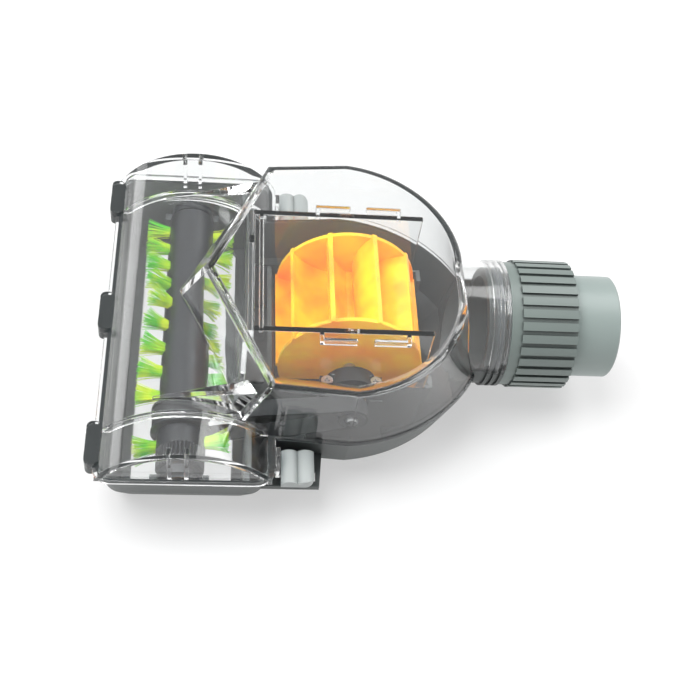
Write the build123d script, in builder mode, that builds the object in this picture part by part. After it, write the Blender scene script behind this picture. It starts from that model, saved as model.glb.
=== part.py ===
from build123d import *
import math
import os

os.makedirs("parts", exist_ok=True)

# Turbo brush head for a vacuum cleaner. +X points to the tube, +Y along the brush
# roller to its far end, +Z up. The origin is under the middle of the part, on the floor.
# Every offset is a distance behind the front of the head.
overall_length = 174.0
neck_z = 30.5
parting_z = 27.5
sole_z = 1.5
wall = 2.2
skin_gap = 0.3
fit_gap = 0.05
running_gap = 0.04

# Brush roller
roller_z = 16.4
core_radius = 7.8
core_half_length = 52.0
tip_radius = 15.6
tuft_width = 3.6
tuft_depth = 2.6
tuft_seat = 2.2
tuft_flare = 14.0
tuft_pitch = 9.0
tuft_count = 11
tuft_end = 6.0
tuft_rise = 40.0
tuft_slope = 0.95
tuft_turn_y = 10.0
pin_radius = 2.0
pin_seat = 8.0
spigot_radius = 5.2
roller_bush_radius = 4.2
roller_bush_flange = 0.8
roller_bush_flange_radius = 5.4
holder_gap = 1.1
holder_width = 3.0
holder_radius = 7.2
holder_foot_z = 8.5
holder_post = 2.2

# Brush head, the wide front box with an arched clear roof
lug_reach = 2.3
lug_height = 3.0
lug_width = 15.5
lug_corner = 1.9
lug_inset = 13.0
head_depth = 56.5
head_end = 12.5
head_half_width = core_half_length + head_end
head_peak_z = 42.0
head_peak_offset = head_depth / 2
head_corner = 6.0
head_front_x = -overall_length / 2 + lug_reach
head_rear_x = head_front_x + head_depth
head_middle_x = head_front_x + head_depth / 2
lip_width = 1.0
lip_height = 1.8

# Base below the head: its walls turn in towards the sole
base_turn_z = 12.0
base_turn_x = 2.6
base_turn_y = 5.8
base_taper_x = 5.0
base_taper_y = 11.0

# Bonnet, the clear hood over the turbine
roof_z = 56.5
bonnet_half_width = head_half_width - 15.3
bonnet_high_half = bonnet_half_width - 0.9
bonnet_front_half_width = head_half_width - 18.5
bonnet_edge_radius = 3.0
prow_low_offset = 16.0
prow_high_offset = 33.0
prow_arm_low_offset = 42.0
prow_arm_high_offset = head_depth - 3.0
widest_offset = head_depth + 23.5
haunch_low_offset = head_depth + 50.4
haunch_high_offset = head_depth + 47.6
haunch_low_half = 39.7
haunch_high_half = 36.5
tail_low_offset = head_depth + 66.7
tail_high_offset = head_depth + 60.1
tail_low_half = 22.0
tail_high_half = 9.1

# Base under the bonnet, narrower towards the sole
tray_front_offset = 38.0
tray_turn = 4.0
tray_taper = 13.0

# Wings, the tapered fairings on the head roof
wing_tip_offset = 18.0
wing_tip_width = 0.8
wing_tip_drop = 0.8
wing_root_width = 6.0
wing_root_z = 50.0
wing_y = bonnet_front_half_width - 4.5

# Turbine wheel and its shaft
turbine_offset = head_depth + 24.5
turbine_z = 28.5
wheel_radius = 24.5
wheel_width = 37.0
wheel_disc = 1.3
vane_count = 10
vane_thick = 1.3
vane_sweep = 34.0
vane_sagitta = 3.0
vane_tip_lead = 3.4
vane_root_lead = 16.0
disc_step = 0.6
hub_radius = 5.5
axle_radius = 2.0
bush_radius = 4.0
bush_width = 5.0
bush_flange_radius = 5.2
bush_flange = 1.0
axle_overhang = 1.0
axle_chamfer = 0.4
cushion_radius = 6.2
pedestal_width = 6.0
pedestal_half_top = 9.5
pedestal_half_foot = 13.0
cap_screw_radius = 1.1
cap_screw_head = 2.0
cap_screw_place = 8.0
cap_screw_depth = 8.0
cap_rise = 8.4
cap_ear = 2.6
cap_screw_head_height = 1.4

# Turbine chamber inside the bonnet
chamber_half_width = 23.2
chamber_wall = 1.8
chamber_front_offset = head_depth - 10.0
chamber_rear_offset = turbine_offset + 24.0
chamber_sill = 0.3
scroll_gap = 1.2
scroll_wall = 1.5
axle_window_radius = 3.2
scroll_throat = 9.0
nozzle_z = 15.0
nozzle_height = 12.0
nozzle_half_width = 18.0
belt_slot_z = 6.0
belt_slot_width = 11.0

# Ribs inside the cover
rib_thick = 1.2
bracket_stand = 2.7
bracket_depth = 3.2
bracket_length = 11.0
front_bracket_reach = 11.5
rear_bracket_reach = 16.0
cross_rib_offset = chamber_front_offset + 4.1
arch_rib_depth = 2.4
end_rib_spread = 2.6
end_rib_reach = 3.4

# Flat belt drive; the roller turns once for two turns of the turbine
belt_y = -35.5
belt_width = 6.0
belt_thick = 0.9
belt_gap = 0.1
pinion_radius = 4.25
pulley_radius = 2 * pinion_radius
pulley_flange = 1.0
pulley_flange_reach = 1.3
pulley_side_gap = 0.5

# Suction mouth, strips and glides on the sole
mouth_half_depth = 16.5
mouth_end = 1.2
mouth_corner = 3.0
strip_depth = 3.2
strip_margin = 0.8
strip_seat = 0.5
strip_end = 4.0
glide_behind = 15.0
glide_depth = 6.0
glide_half_width = 22.0
glide_corner = 2.0
glide_chamfer = 0.5

# Neck, swivel collar and connector tube
neck_radius = 20.9
neck_bore_radius = 19.3
neck_root_offset = head_depth + 49.5
neck_end_offset = head_depth + 76.5
neck_ridge = 0.8
neck_ridge_width = 1.2
neck_ridge_pitch = 2.3
neck_ridges = 3
neck_lip = 1.6
tube_radius = 17.5
tube_bore_radius = 16.0
tube_start_offset = neck_end_offset - 7.0
tube_flange = 2.6
tube_flange_radius = 19.0
tube_chamfer = 0.5
collar_radius = 22.0
collar_length = 22.5
collar_band = 3.6
collar_band_drop = 0.8
collar_grooves = 32
collar_groove_width = 1.5
collar_groove_depth = 0.9
seal_width = 2.4

# Side latches that hold the cover
latch_offset = head_depth + 1.9
latch_length = 10.5
latch_inner_y = bonnet_half_width + 0.5
latch_outer_y = head_half_width - 2.9
latch_top_z = 25.6
latch_hump = 1.2
latch_corner = 3.0
latch_travel = 3.0
latch_foot_length = 6.0
latch_foot_width = 3.6
latch_head_width = 6.0
latch_head_height = 1.6
shelf_z = 17.0
shelf_thick = 2.0
shelf_margin = 1.0
hook_thick = 1.5
hook_reach = 2.4
hook_z = 20.6
hook_width = 6.0


# Places worked out from the sizes above
roller_x = head_middle_x - 1.75
turbine_x = head_front_x + turbine_offset
neck_seat_x = head_front_x + tail_low_offset - wall
chamber_front_x = head_front_x + chamber_front_offset
chamber_length = chamber_rear_offset - chamber_front_offset
chamber_middle_x = chamber_front_x + chamber_length / 2
bay_wall_x = chamber_front_x + chamber_wall / 2
floor_z = sole_z + wall
bracket_spans = (
    (turbine_x - front_bracket_reach, turbine_x - front_bracket_reach + bracket_length),
    (turbine_x + rear_bracket_reach, turbine_x + rear_bracket_reach - bracket_length),
)
lug_places = (-head_half_width + lug_inset, 0, head_half_width - lug_inset)
tuft_first_y = core_half_length - tuft_end
holder_inner_y = core_half_length + holder_gap
holder_middle_y = holder_inner_y + holder_width / 2
mouth_half_width = core_half_length - mouth_end
strip_half_width = core_half_length - strip_end
latch_middle_y = latch_inner_y + hook_width / 2 + 1.5
latch_x = head_front_x + latch_offset
latch_foot_x = latch_x + latch_length / 2
latch_cavity_x = head_rear_x + hook_thick + hook_reach + skin_gap
tab_z = hook_z + hook_thick + skin_gap
shelf_outer_y = latch_middle_y + hook_width / 2 + shelf_margin
shelf_rear_x = latch_foot_x + latch_foot_length / 2 + latch_travel + skin_gap + wall / 2
glide_x = turbine_x + glide_behind
tube_start_x = head_front_x + tube_start_offset
collar_x = head_front_x + neck_end_offset + skin_gap
pedestal_middle_y = chamber_half_width + chamber_wall + pedestal_width / 2
strip_places = (
    roller_x - mouth_half_depth - strip_margin - strip_depth / 2,
    roller_x + mouth_half_depth + strip_margin + strip_depth / 2,
)


def slice_at(y):
    """Upright plane across the roller, seen as X and Z."""
    return Plane.XZ.offset(-y)


def section_at(x):
    """Upright plane across the tube, seen as Y and Z."""
    return Plane.YZ.offset(x)


def arch(inset):
    """Arched section of the head roof, open side down on the parting plane."""
    front = (head_front_x + lip_width + inset, parting_z)
    rear = (head_rear_x - lip_width - inset, parting_z)
    peak = (head_front_x + head_peak_offset, head_peak_z - inset)
    with BuildSketch() as section:
        with BuildLine():
            TangentArc(peak, rear, tangent=(1, 0))
            TangentArc(peak, front, tangent=(-1, 0))
            Line(front, rear)
        make_face()
    return section.sketch


def hood_plan(apex, arm, side, haunch, tail, inset=0.0):
    """Plan outline of the bonnet: a V prow, long sides, round haunches and a square tail."""
    with BuildSketch() as plan:
        with BuildLine():
            Line(apex, arm)
            Line(arm, side)
            ThreePointArc(side, haunch, tail)
            Line(tail, (tail[0], 0))
            mirror(about=Plane.XZ)
        make_face()
        if inset:
            offset(amount=-inset, kind=Kind.INTERSECTION, mode=Mode.REPLACE)
    return plan.sketch


def hood_roof_plan(inset=0.0):
    return hood_plan(
        (head_front_x + prow_high_offset, 0),
        (head_front_x + prow_arm_high_offset, bonnet_front_half_width),
        (head_front_x + widest_offset, bonnet_high_half),
        (head_front_x + haunch_high_offset, haunch_high_half),
        (head_front_x + tail_high_offset, tail_high_half),
        inset,
    )


def hood_rim_plan(inset=0.0):
    return hood_plan(
        (head_front_x + prow_low_offset, 0),
        (head_front_x + prow_arm_low_offset, bonnet_front_half_width),
        (head_front_x + widest_offset, bonnet_half_width),
        (head_front_x + haunch_low_offset, haunch_low_half),
        (head_front_x + tail_low_offset, tail_low_half),
        inset,
    )


def tray_plan(drawn_in, inset=0.0):
    """Plan of the base under the bonnet, from a straight front edge hidden in the head."""
    return hood_plan(
        (head_front_x + tray_front_offset, 0),
        (head_front_x + tray_front_offset, bonnet_front_half_width - drawn_in),
        (head_front_x + widest_offset, bonnet_half_width - drawn_in),
        (head_front_x + haunch_low_offset - drawn_in / 2, haunch_low_half - drawn_in),
        (head_front_x + tail_low_offset - drawn_in, tail_low_half - drawn_in / 2),
        inset,
    )


def head_plan(taper_x, taper_y, corner=head_corner):
    """Rounded rectangle of the head, smaller than its rim by a taper on each side."""
    with BuildSketch() as plan:
        with Locations((head_middle_x, 0)):
            RectangleRounded(head_depth - 2 * taper_x, 2 * (head_half_width - taper_y), corner)
    return plan.sketch


def neck_half(outer, inner, upper):
    """Half of the round neck in section: the upper half on the cover or the lower on the base."""
    with BuildSketch() as section:
        with Locations((0, neck_z)):
            Circle(outer)
            if inner:
                Circle(inner, mode=Mode.SUBTRACT)
            waste = (Align.CENTER, Align.MAX) if upper else (Align.CENTER, Align.MIN)
            Rectangle(4 * outer, 2 * outer, align=waste, mode=Mode.SUBTRACT)
    return section.sketch


# Clear cover: head roof, bonnet, neck half, chamber walls, brackets and ribs in one moulding
with BuildPart() as clear_cover:
    with BuildSketch(Plane.XZ):
        add(arch(0))
    extrude(amount=head_half_width - lip_width, both=True)
    with BuildSketch(Plane.XY.offset(parting_z)):
        add(hood_rim_plan())
    with BuildSketch(Plane.XY.offset(roof_z)):
        add(hood_roof_plan())
    loft(ruled=True)
    fillet(clear_cover.faces().sort_by(Axis.Z)[-1].edges(), bonnet_edge_radius)
    # Rim lip that laps the base, and the three front lugs
    with BuildSketch(Plane.XY.offset(parting_z)):
        add(head_plan(0, 0))
        add(hood_rim_plan())
    extrude(amount=lip_height)
    with BuildSketch(Plane.XY.offset(parting_z)):
        for lug_y in lug_places:
            with Locations((head_front_x, lug_y)):
                RectangleRounded(2 * lug_reach, lug_width, lug_corner)
    extrude(amount=lug_height)
    # Wings: tapered fairings that run forward from the bonnet over the head roof
    for side in (1, -1):
        with BuildSketch(section_at(head_front_x + wing_tip_offset)):
            with Locations((side * wing_y, parting_z)):
                Rectangle(
                    wing_tip_width,
                    head_peak_z - wing_tip_drop - parting_z,
                    align=(Align.CENTER, Align.MIN),
                )
        with BuildSketch(section_at(head_front_x + prow_arm_high_offset)):
            with Locations((side * wing_y, parting_z)):
                Rectangle(wing_root_width, wing_root_z - parting_z, align=(Align.CENTER, Align.MIN))
        loft(ruled=True)
    # Upper half of the neck
    with BuildSketch(section_at(head_front_x + neck_root_offset)):
        add(neck_half(neck_radius, 0, upper=True))
    extrude(amount=neck_end_offset - neck_root_offset)
    # Hollow inside, with the seat of the base's half of the neck
    with BuildSketch(Plane.XZ):
        add(arch(wall))
    extrude(amount=head_half_width - lip_width - wall, both=True, mode=Mode.SUBTRACT)
    with BuildSketch(Plane.XY.offset(parting_z)):
        add(hood_rim_plan(wall))
    with BuildSketch(Plane.XY.offset(roof_z - wall)):
        add(hood_roof_plan(wall))
    loft(ruled=True, mode=Mode.SUBTRACT)
    with BuildSketch(section_at(head_front_x + neck_root_offset - wall)):
        with Locations((0, neck_z)):
            Circle(neck_bore_radius)
    extrude(amount=neck_end_offset - neck_root_offset + wall - neck_lip, mode=Mode.SUBTRACT)
    with BuildSketch(section_at(head_front_x + neck_end_offset - neck_lip)):
        with Locations((0, neck_z)):
            Circle(tube_radius + skin_gap)
    extrude(amount=neck_lip, mode=Mode.SUBTRACT)
    with BuildSketch(section_at(neck_seat_x)):
        with Locations((0, parting_z)):
            Rectangle(2 * (neck_radius + fit_gap), neck_z - parting_z, align=(Align.CENTER, Align.MIN))
    extrude(amount=head_front_x + neck_end_offset - neck_seat_x, mode=Mode.SUBTRACT)
    # Ridges round the neck, upper half
    for ridge in range(neck_ridges):
        ridge_x = head_front_x + neck_end_offset - neck_ridge_width - ridge * neck_ridge_pitch
        with BuildSketch(section_at(ridge_x)):
            add(neck_half(neck_radius + neck_ridge, neck_radius - neck_ridge, upper=True))
        extrude(amount=neck_ridge_width)
    # Turbine chamber walls and its front wall, hanging from the roof
    with BuildSketch(Plane.XY.offset(parting_z)):
        for side in (1, -1):
            with Locations((chamber_middle_x, side * (chamber_half_width + chamber_wall / 2))):
                Rectangle(chamber_length, chamber_wall)
    extrude(amount=roof_z - wall / 2 - parting_z)
    with BuildSketch(Plane.XY.offset(parting_z + chamber_sill)):
        with Locations((chamber_front_x + chamber_wall / 2, 0)):
            Rectangle(chamber_wall, 2 * chamber_half_width + chamber_wall)
    extrude(amount=roof_z - wall / 2 - parting_z - chamber_sill)
    with BuildSketch(Plane.XZ):
        with Locations((turbine_x, turbine_z)):
            Circle(axle_window_radius)
    extrude(amount=chamber_half_width + 2 * chamber_wall, both=True, mode=Mode.SUBTRACT)
    # Angle brackets and the cross rib under the bonnet roof
    with BuildSketch(Plane.XY.offset(roof_z - wall / 2)):
        for side in (1, -1):
            bracket_y = side * (chamber_half_width + chamber_wall + bracket_stand)
            for near_x, far_x in bracket_spans:
                with Locations(((near_x + far_x) / 2, bracket_y)):
                    Rectangle(abs(far_x - near_x), rib_thick)
                with Locations((near_x, bracket_y - side * bracket_stand / 2)):
                    Rectangle(rib_thick, bracket_stand + rib_thick)
        with Locations((head_front_x + cross_rib_offset, 0)):
            Rectangle(rib_thick, 2 * chamber_half_width)
    extrude(amount=-bracket_depth)
    # Arched ribs in line with the bonnet sides, and two short ribs over each roller holder
    for side in (1, -1):
        with BuildSketch(slice_at(side * (bonnet_front_half_width + rib_thick / 2))):
            add(arch(wall / 2))
            add(arch(wall + arch_rib_depth), mode=Mode.SUBTRACT)
        extrude(amount=side * rib_thick)
        with BuildSketch(slice_at(side * (head_half_width - lip_width - wall / 2))):
            add(arch(wall / 2))
            with Locations((roller_x, head_peak_z / 2)):
                Rectangle(2 * end_rib_spread + rib_thick, 2 * head_peak_z, mode=Mode.INTERSECT)
                Rectangle(2 * end_rib_spread - rib_thick, 2 * head_peak_z, mode=Mode.SUBTRACT)
        extrude(amount=side * end_rib_reach)
    # Hooks behind the head that the side latches catch
    for side in (1, -1):
        with BuildSketch(slice_at(side * (latch_middle_y - hook_width / 2))):
            with BuildLine():
                Polyline(
                    (head_rear_x - lip_width, parting_z + lip_height),
                    (head_rear_x + hook_thick, parting_z + lip_height),
                    (head_rear_x + hook_thick, hook_z + hook_thick),
                    (head_rear_x + hook_thick + hook_reach, hook_z + hook_thick),
                    (head_rear_x + hook_thick + hook_reach, hook_z),
                    (head_rear_x + skin_gap, hook_z),
                    (head_rear_x + skin_gap, parting_z),
                    (head_rear_x - lip_width, parting_z),
                    close=True,
                )
            make_face()
        extrude(amount=-side * hook_width)
clear_cover.part.label = "clear_cover"
export_step(clear_cover.part, "parts/clear_cover.step")

# Solid form of the grey base, used to trim its inner walls
with BuildPart() as tray_form:
    with BuildSketch(Plane.XY.offset(parting_z)):
        add(head_plan(lip_width, lip_width))
    with BuildSketch(Plane.XY.offset(base_turn_z)):
        add(head_plan(base_turn_x, base_turn_y))
    with BuildSketch(Plane.XY.offset(sole_z)):
        add(head_plan(base_taper_x, base_taper_y))
    loft(ruled=True)
    with BuildSketch(Plane.XY.offset(parting_z)):
        add(tray_plan(0))
    with BuildSketch(Plane.XY.offset(base_turn_z)):
        add(tray_plan(tray_turn))
    with BuildSketch(Plane.XY.offset(sole_z)):
        add(tray_plan(tray_taper))
    loft(ruled=True)

# Walls inside the base: rear wall of the roller bay, turbine chamber and its scroll
with BuildPart() as tray_walls:
    with BuildSketch(Plane.XY.offset(sole_z)):
        with Locations((bay_wall_x, 0)):
            Rectangle(chamber_wall, 2 * head_half_width)
        for side in (1, -1):
            with Locations((chamber_middle_x, side * (chamber_half_width + chamber_wall / 2))):
                Rectangle(chamber_length, chamber_wall)
    extrude(amount=parting_z - sole_z)
    with BuildSketch(Plane.XZ):
        with Locations((turbine_x, turbine_z)):
            Circle(wheel_radius + scroll_gap + scroll_wall)
            Rectangle(
                4 * wheel_radius,
                2 * wheel_radius,
                align=(Align.CENTER, Align.MIN),
                mode=Mode.SUBTRACT,
            )
    extrude(amount=chamber_half_width + chamber_wall / 2, both=True)
    # Air slot into the scroll, and an open slot for the belt
    with BuildSketch(Plane.YZ.offset(bay_wall_x - chamber_wall)):
        with Locations((0, nozzle_z)):
            Rectangle(2 * nozzle_half_width, nozzle_height)
        with Locations((belt_y, belt_slot_z)):
            Rectangle(belt_slot_width, parting_z, align=(Align.CENTER, Align.MIN))
    extrude(amount=2 * chamber_wall, mode=Mode.SUBTRACT)
    with BuildSketch(Plane.XZ):
        with Locations((turbine_x, turbine_z)):
            Circle(wheel_radius + scroll_gap)
        with Locations((turbine_x - wheel_radius - scroll_gap, nozzle_z)):
            Rectangle(2 * scroll_throat, nozzle_height)
    extrude(amount=chamber_half_width, both=True, mode=Mode.SUBTRACT)
    # Posts either side of each roller holder
    for side in (1, -1):
        with BuildSketch(Plane.XY.offset(sole_z)):
            for place in (-1, 1):
                post_x = roller_x + place * (holder_radius + fit_gap + holder_post / 2)
                with Locations((post_x, side * holder_middle_y)):
                    Rectangle(holder_post, holder_width)
        extrude(amount=roller_z - sole_z)
    add(tray_form.part, mode=Mode.INTERSECT)

# Base housing: tray with the suction mouth, bearing pedestals, latch shelves and neck half
with BuildPart() as base_housing:
    add(tray_form.part)
    for side in (1, -1):
        with BuildSketch(Plane.XY.offset(shelf_z - shelf_thick)):
            with BuildLine():
                Polyline(
                    (head_rear_x - base_taper_x, side * (bonnet_front_half_width - tray_taper)),
                    (head_rear_x - base_taper_x, side * shelf_outer_y),
                    (shelf_rear_x, side * shelf_outer_y),
                    (shelf_rear_x + wall, side * (bonnet_front_half_width - tray_taper)),
                    close=True,
                )
            make_face()
        extrude(amount=shelf_thick)
    with BuildSketch(section_at(head_front_x + neck_root_offset)):
        add(neck_half(neck_radius, 0, upper=False))
        with Locations((0, neck_z)):
            Rectangle(4 * neck_radius, 2 * (neck_z - parting_z), mode=Mode.SUBTRACT)
    extrude(amount=neck_end_offset - neck_root_offset)
    # Front lugs that meet those of the cover
    with BuildSketch(Plane.XY.offset(parting_z - lug_height)):
        for lug_y in lug_places:
            with Locations((head_front_x, lug_y)):
                RectangleRounded(2 * lug_reach, lug_width, lug_corner)
    extrude(amount=lug_height)
    # Hollow inside
    with BuildSketch(Plane.XY.offset(parting_z)):
        add(head_plan(lip_width + wall, lip_width + wall, head_corner - wall))
    with BuildSketch(Plane.XY.offset(base_turn_z)):
        add(head_plan(base_turn_x + wall, base_turn_y + wall, head_corner - wall))
    with BuildSketch(Plane.XY.offset(floor_z)):
        add(head_plan(base_taper_x + wall, base_taper_y + wall, head_corner - wall))
    loft(ruled=True, mode=Mode.SUBTRACT)
    with BuildSketch(Plane.XY.offset(parting_z)):
        add(tray_plan(0, wall))
    with BuildSketch(Plane.XY.offset(base_turn_z)):
        add(tray_plan(tray_turn, wall))
    with BuildSketch(Plane.XY.offset(floor_z)):
        add(tray_plan(tray_taper, wall))
    loft(ruled=True, mode=Mode.SUBTRACT)
    with BuildSketch(Plane.XZ):
        with Locations((turbine_x, turbine_z)):
            Circle(wheel_radius + scroll_gap)
    extrude(amount=chamber_half_width, both=True, mode=Mode.SUBTRACT)
    add(tray_walls.part)
    with BuildSketch(section_at(neck_seat_x)):
        add(neck_half(neck_radius, 0, upper=False))
    extrude(amount=head_front_x + neck_end_offset - neck_seat_x)
    for ridge in range(neck_ridges):
        ridge_x = head_front_x + neck_end_offset - neck_ridge_width - ridge * neck_ridge_pitch
        with BuildSketch(section_at(ridge_x)):
            add(neck_half(neck_radius + neck_ridge, neck_radius - neck_ridge, upper=False))
        extrude(amount=neck_ridge_width)
    with BuildSketch(section_at(head_front_x + neck_root_offset - wall)):
        with Locations((0, neck_z)):
            Circle(neck_bore_radius)
    extrude(amount=neck_end_offset - neck_root_offset + wall - neck_lip, mode=Mode.SUBTRACT)
    with BuildSketch(section_at(head_front_x + neck_end_offset - neck_lip)):
        with Locations((0, neck_z)):
            Circle(tube_radius + skin_gap)
    extrude(amount=neck_lip, mode=Mode.SUBTRACT)
    # Suction mouth and the shallow seats for the strips and the rear glide
    with BuildSketch(Plane.XY):
        with Locations((roller_x, 0)):
            RectangleRounded(2 * mouth_half_depth, 2 * mouth_half_width, mouth_corner)
    extrude(amount=floor_z, mode=Mode.SUBTRACT)
    with BuildSketch(Plane.XY.offset(sole_z)):
        for strip_x in strip_places:
            with Locations((strip_x, 0)):
                Rectangle(strip_depth + 2 * fit_gap, 2 * (strip_half_width + fit_gap))
        with Locations((glide_x, 0)):
            Rectangle(glide_depth + 2 * fit_gap, 2 * (glide_half_width + fit_gap))
    extrude(amount=strip_seat, mode=Mode.SUBTRACT)
    # Bearing pedestals beside the chamber, with half seats for the rubber rings
    for side in (1, -1):
        with BuildSketch(slice_at(side * (chamber_half_width + chamber_wall))):
            with BuildLine():
                Polyline(
                    (turbine_x - pedestal_half_foot, floor_z),
                    (turbine_x + pedestal_half_foot, floor_z),
                    (turbine_x + pedestal_half_top, turbine_z),
                    (turbine_x - pedestal_half_top, turbine_z),
                    close=True,
                )
            make_face()
            with Locations((turbine_x, turbine_z - (cap_screw_depth + wall) / 2)):
                Rectangle(2 * (cap_screw_place + cap_screw_radius + fit_gap) + wall, cap_screw_depth + wall)
            with Locations((turbine_x, turbine_z)):
                Circle(cushion_radius + fit_gap, mode=Mode.SUBTRACT)
        extrude(amount=-side * pedestal_width)
        with BuildSketch(Plane.XY.offset(turbine_z)):
            for place in (-cap_screw_place, cap_screw_place):
                with Locations((turbine_x + place, side * pedestal_middle_y)):
                    Circle(cap_screw_radius + fit_gap)
        extrude(amount=-cap_screw_depth, mode=Mode.SUBTRACT)
    with BuildSketch(Plane.XZ):
        with Locations((turbine_x, turbine_z)):
            Circle(axle_window_radius)
    extrude(amount=chamber_half_width + 2 * chamber_wall, both=True, mode=Mode.SUBTRACT)
    # Seats of the roller holders in the side walls
    for side in (1, -1):
        with BuildSketch(Plane.XY.offset(holder_foot_z)):
            with Locations((roller_x, side * holder_middle_y)):
                Rectangle(2 * (holder_radius + fit_gap), holder_width + 2 * fit_gap)
        extrude(amount=parting_z - holder_foot_z, mode=Mode.SUBTRACT)
    # Slots in the latch shelves for the feet of the latches
    with BuildSketch(Plane.XY.offset(shelf_z - shelf_thick)):
        for side in (1, -1):
            with Locations((latch_foot_x + latch_travel / 2, side * latch_middle_y)):
                Rectangle(
                    latch_foot_length + latch_travel + 2 * skin_gap,
                    latch_foot_width + 2 * skin_gap,
                )
    extrude(amount=shelf_thick, mode=Mode.SUBTRACT)
base_housing.part.label = "base_housing"
export_step(base_housing.part, "parts/base_housing.step")

# Turbine wheel: two discs on a hub with swept vanes between them
def vane_plan(turn):
    """One curved vane from the hub to the rim, at an angle round the wheel."""
    start = math.radians(turn)
    end = math.radians(turn + vane_sweep)
    lead = math.radians(turn + vane_sweep + vane_tip_lead)
    root = math.radians(turn + vane_root_lead)
    inner = hub_radius - vane_thick
    with BuildSketch() as vane:
        with BuildLine():
            face = SagittaArc(
                (inner * math.cos(start), inner * math.sin(start)),
                (wheel_radius * math.cos(end), wheel_radius * math.sin(end)),
                vane_sagitta,
            )
            back = SagittaArc(
                (inner * math.cos(root), inner * math.sin(root)),
                (wheel_radius * math.cos(lead), wheel_radius * math.sin(lead)),
                vane_sagitta,
            )
            Line(face @ 0, back @ 0)
            Line(face @ 1, back @ 1)
        make_face()
    return vane.sketch


with BuildPart() as turbine_wheel:
    with BuildSketch(slice_at(wheel_width / 2)):
        for vane in range(vane_count):
            with Locations((turbine_x, turbine_z)):
                add(vane_plan(vane * 360 / vane_count))
        with Locations((turbine_x, turbine_z)):
            Circle(hub_radius)
    extrude(amount=wheel_width)
    for disc_y in (wheel_width / 2, -wheel_width / 2 + wheel_disc):
        with BuildSketch(slice_at(disc_y)):
            with Locations((turbine_x, turbine_z)):
                Circle(wheel_radius - disc_step)
        extrude(amount=wheel_disc)
    with BuildSketch(slice_at(wheel_width / 2)):
        with Locations((turbine_x, turbine_z)):
            Circle(axle_radius + fit_gap)
    extrude(amount=wheel_width, mode=Mode.SUBTRACT)
turbine_wheel.part.label = "turbine_wheel"
export_step(turbine_wheel.part, "parts/turbine_wheel.step")

# Turbine axle, right through the wheel, the bushes and the pinion
bearing_outer_y = pedestal_middle_y + bush_width / 2 + bush_flange
pinion_inner_y = -bearing_outer_y - skin_gap
pinion_outer_y = belt_y - belt_width / 2 - pulley_side_gap
with BuildPart() as turbine_axle:
    with BuildSketch(slice_at(bearing_outer_y + axle_overhang)):
        with Locations((turbine_x, turbine_z)):
            Circle(axle_radius)
    extrude(amount=bearing_outer_y + 2 * axle_overhang - pinion_outer_y)
    chamfer(turbine_axle.edges(), axle_chamfer)
turbine_axle.part.label = "turbine_axle"
export_step(turbine_axle.part, "parts/turbine_axle.step")

# Smooth pinion on the near end of the turbine axle
with BuildPart() as drive_pinion:
    with BuildSketch(slice_at(pinion_inner_y)):
        with Locations((turbine_x, turbine_z)):
            Circle(pinion_radius)
            Circle(axle_radius + fit_gap, mode=Mode.SUBTRACT)
    extrude(amount=pinion_inner_y - pinion_outer_y)
drive_pinion.part.label = "drive_pinion"
export_step(drive_pinion.part, "parts/drive_pinion.step")

# Flanged pulley that slides on the thin end of the roller
pulley_start_y = belt_y + belt_width / 2 + pulley_side_gap + pulley_flange
pulley_end_y = belt_y - belt_width / 2 - pulley_side_gap - pulley_flange
with BuildPart() as roller_pulley:
    with BuildSketch(slice_at(pulley_start_y)):
        with Locations((roller_x, roller_z)):
            Circle(pulley_radius)
            Circle(spigot_radius + fit_gap, mode=Mode.SUBTRACT)
    extrude(amount=pulley_start_y - pulley_end_y)
    for flange_y in (pulley_start_y, pulley_end_y + pulley_flange):
        with BuildSketch(slice_at(flange_y)):
            with Locations((roller_x, roller_z)):
                Circle(pulley_radius + pulley_flange_reach)
                Circle(spigot_radius + fit_gap, mode=Mode.SUBTRACT)
        extrude(amount=pulley_flange)
roller_pulley.part.label = "roller_pulley"
export_step(roller_pulley.part, "parts/roller_pulley.step")


def belt_loop(growth):
    """Closed loop round both pulleys, grown outwards from the inside of the belt."""
    with BuildSketch() as loop:
        with Locations((roller_x, roller_z)):
            Circle(pulley_radius + belt_gap + growth)
        with Locations((turbine_x, turbine_z)):
            Circle(pinion_radius + belt_gap + growth)
        make_hull()
    return loop.sketch


# Flat rubber belt from the turbine pinion to the roller pulley
with BuildPart() as drive_belt:
    with BuildSketch(slice_at(belt_y + belt_width / 2)):
        add(belt_loop(belt_thick))
        add(belt_loop(0), mode=Mode.SUBTRACT)
    extrude(amount=belt_width)
drive_belt.part.label = "drive_belt"
export_step(drive_belt.part, "parts/drive_belt.step")

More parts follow.
